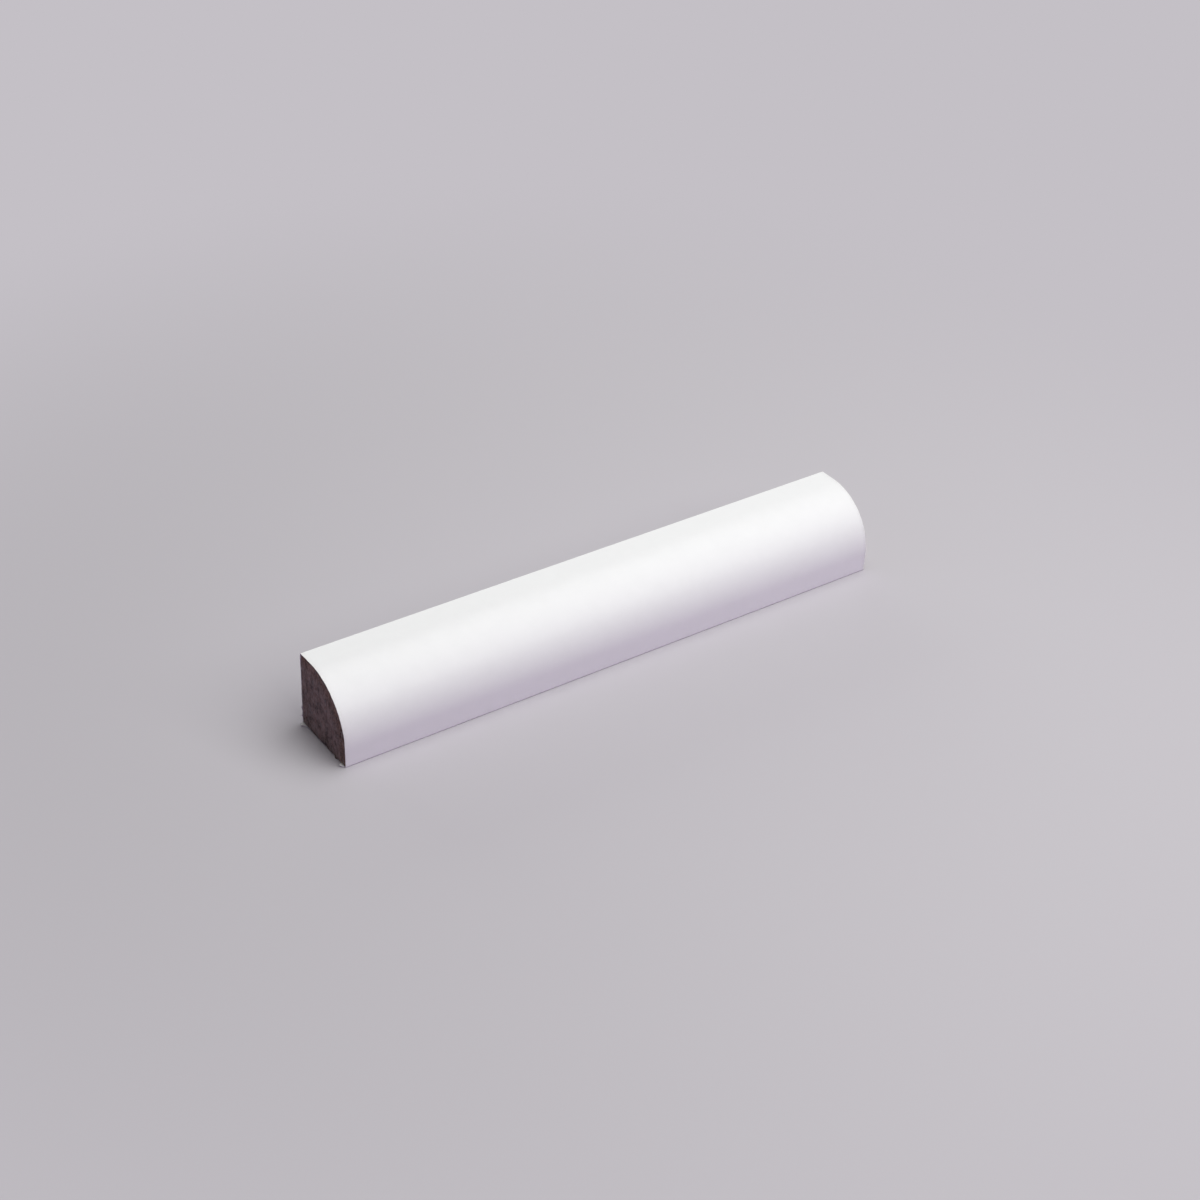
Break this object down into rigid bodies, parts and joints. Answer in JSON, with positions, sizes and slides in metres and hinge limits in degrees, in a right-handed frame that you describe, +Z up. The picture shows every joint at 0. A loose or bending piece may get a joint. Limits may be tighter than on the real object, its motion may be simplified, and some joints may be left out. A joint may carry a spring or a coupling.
{
  "type": "quarter round moulding",
  "caption": "Short sawn length of quarter round trim: a fibreboard core with a rounded front, wrapped in satin white film, that covers the joint between floor and wall.",
  "frame": {"origin": "middle of the length and of the width, on the floor plane under the base", "axes": "+X along the length, +Y out of the flat back, -Y towards the room and the round, +Z up"},
  "size_m": [0.148, 0.019, 0.019],
  "materials": {
    "fibreboard": "raw, sawn, fine grey-brown fibre",
    "white_film": "satin white wrap film"
  },
  "bodies": {
    "root": {"fibreboard_core": "fibreboard", "wrap_film": "white_film"}
  },
  "joints": []
}
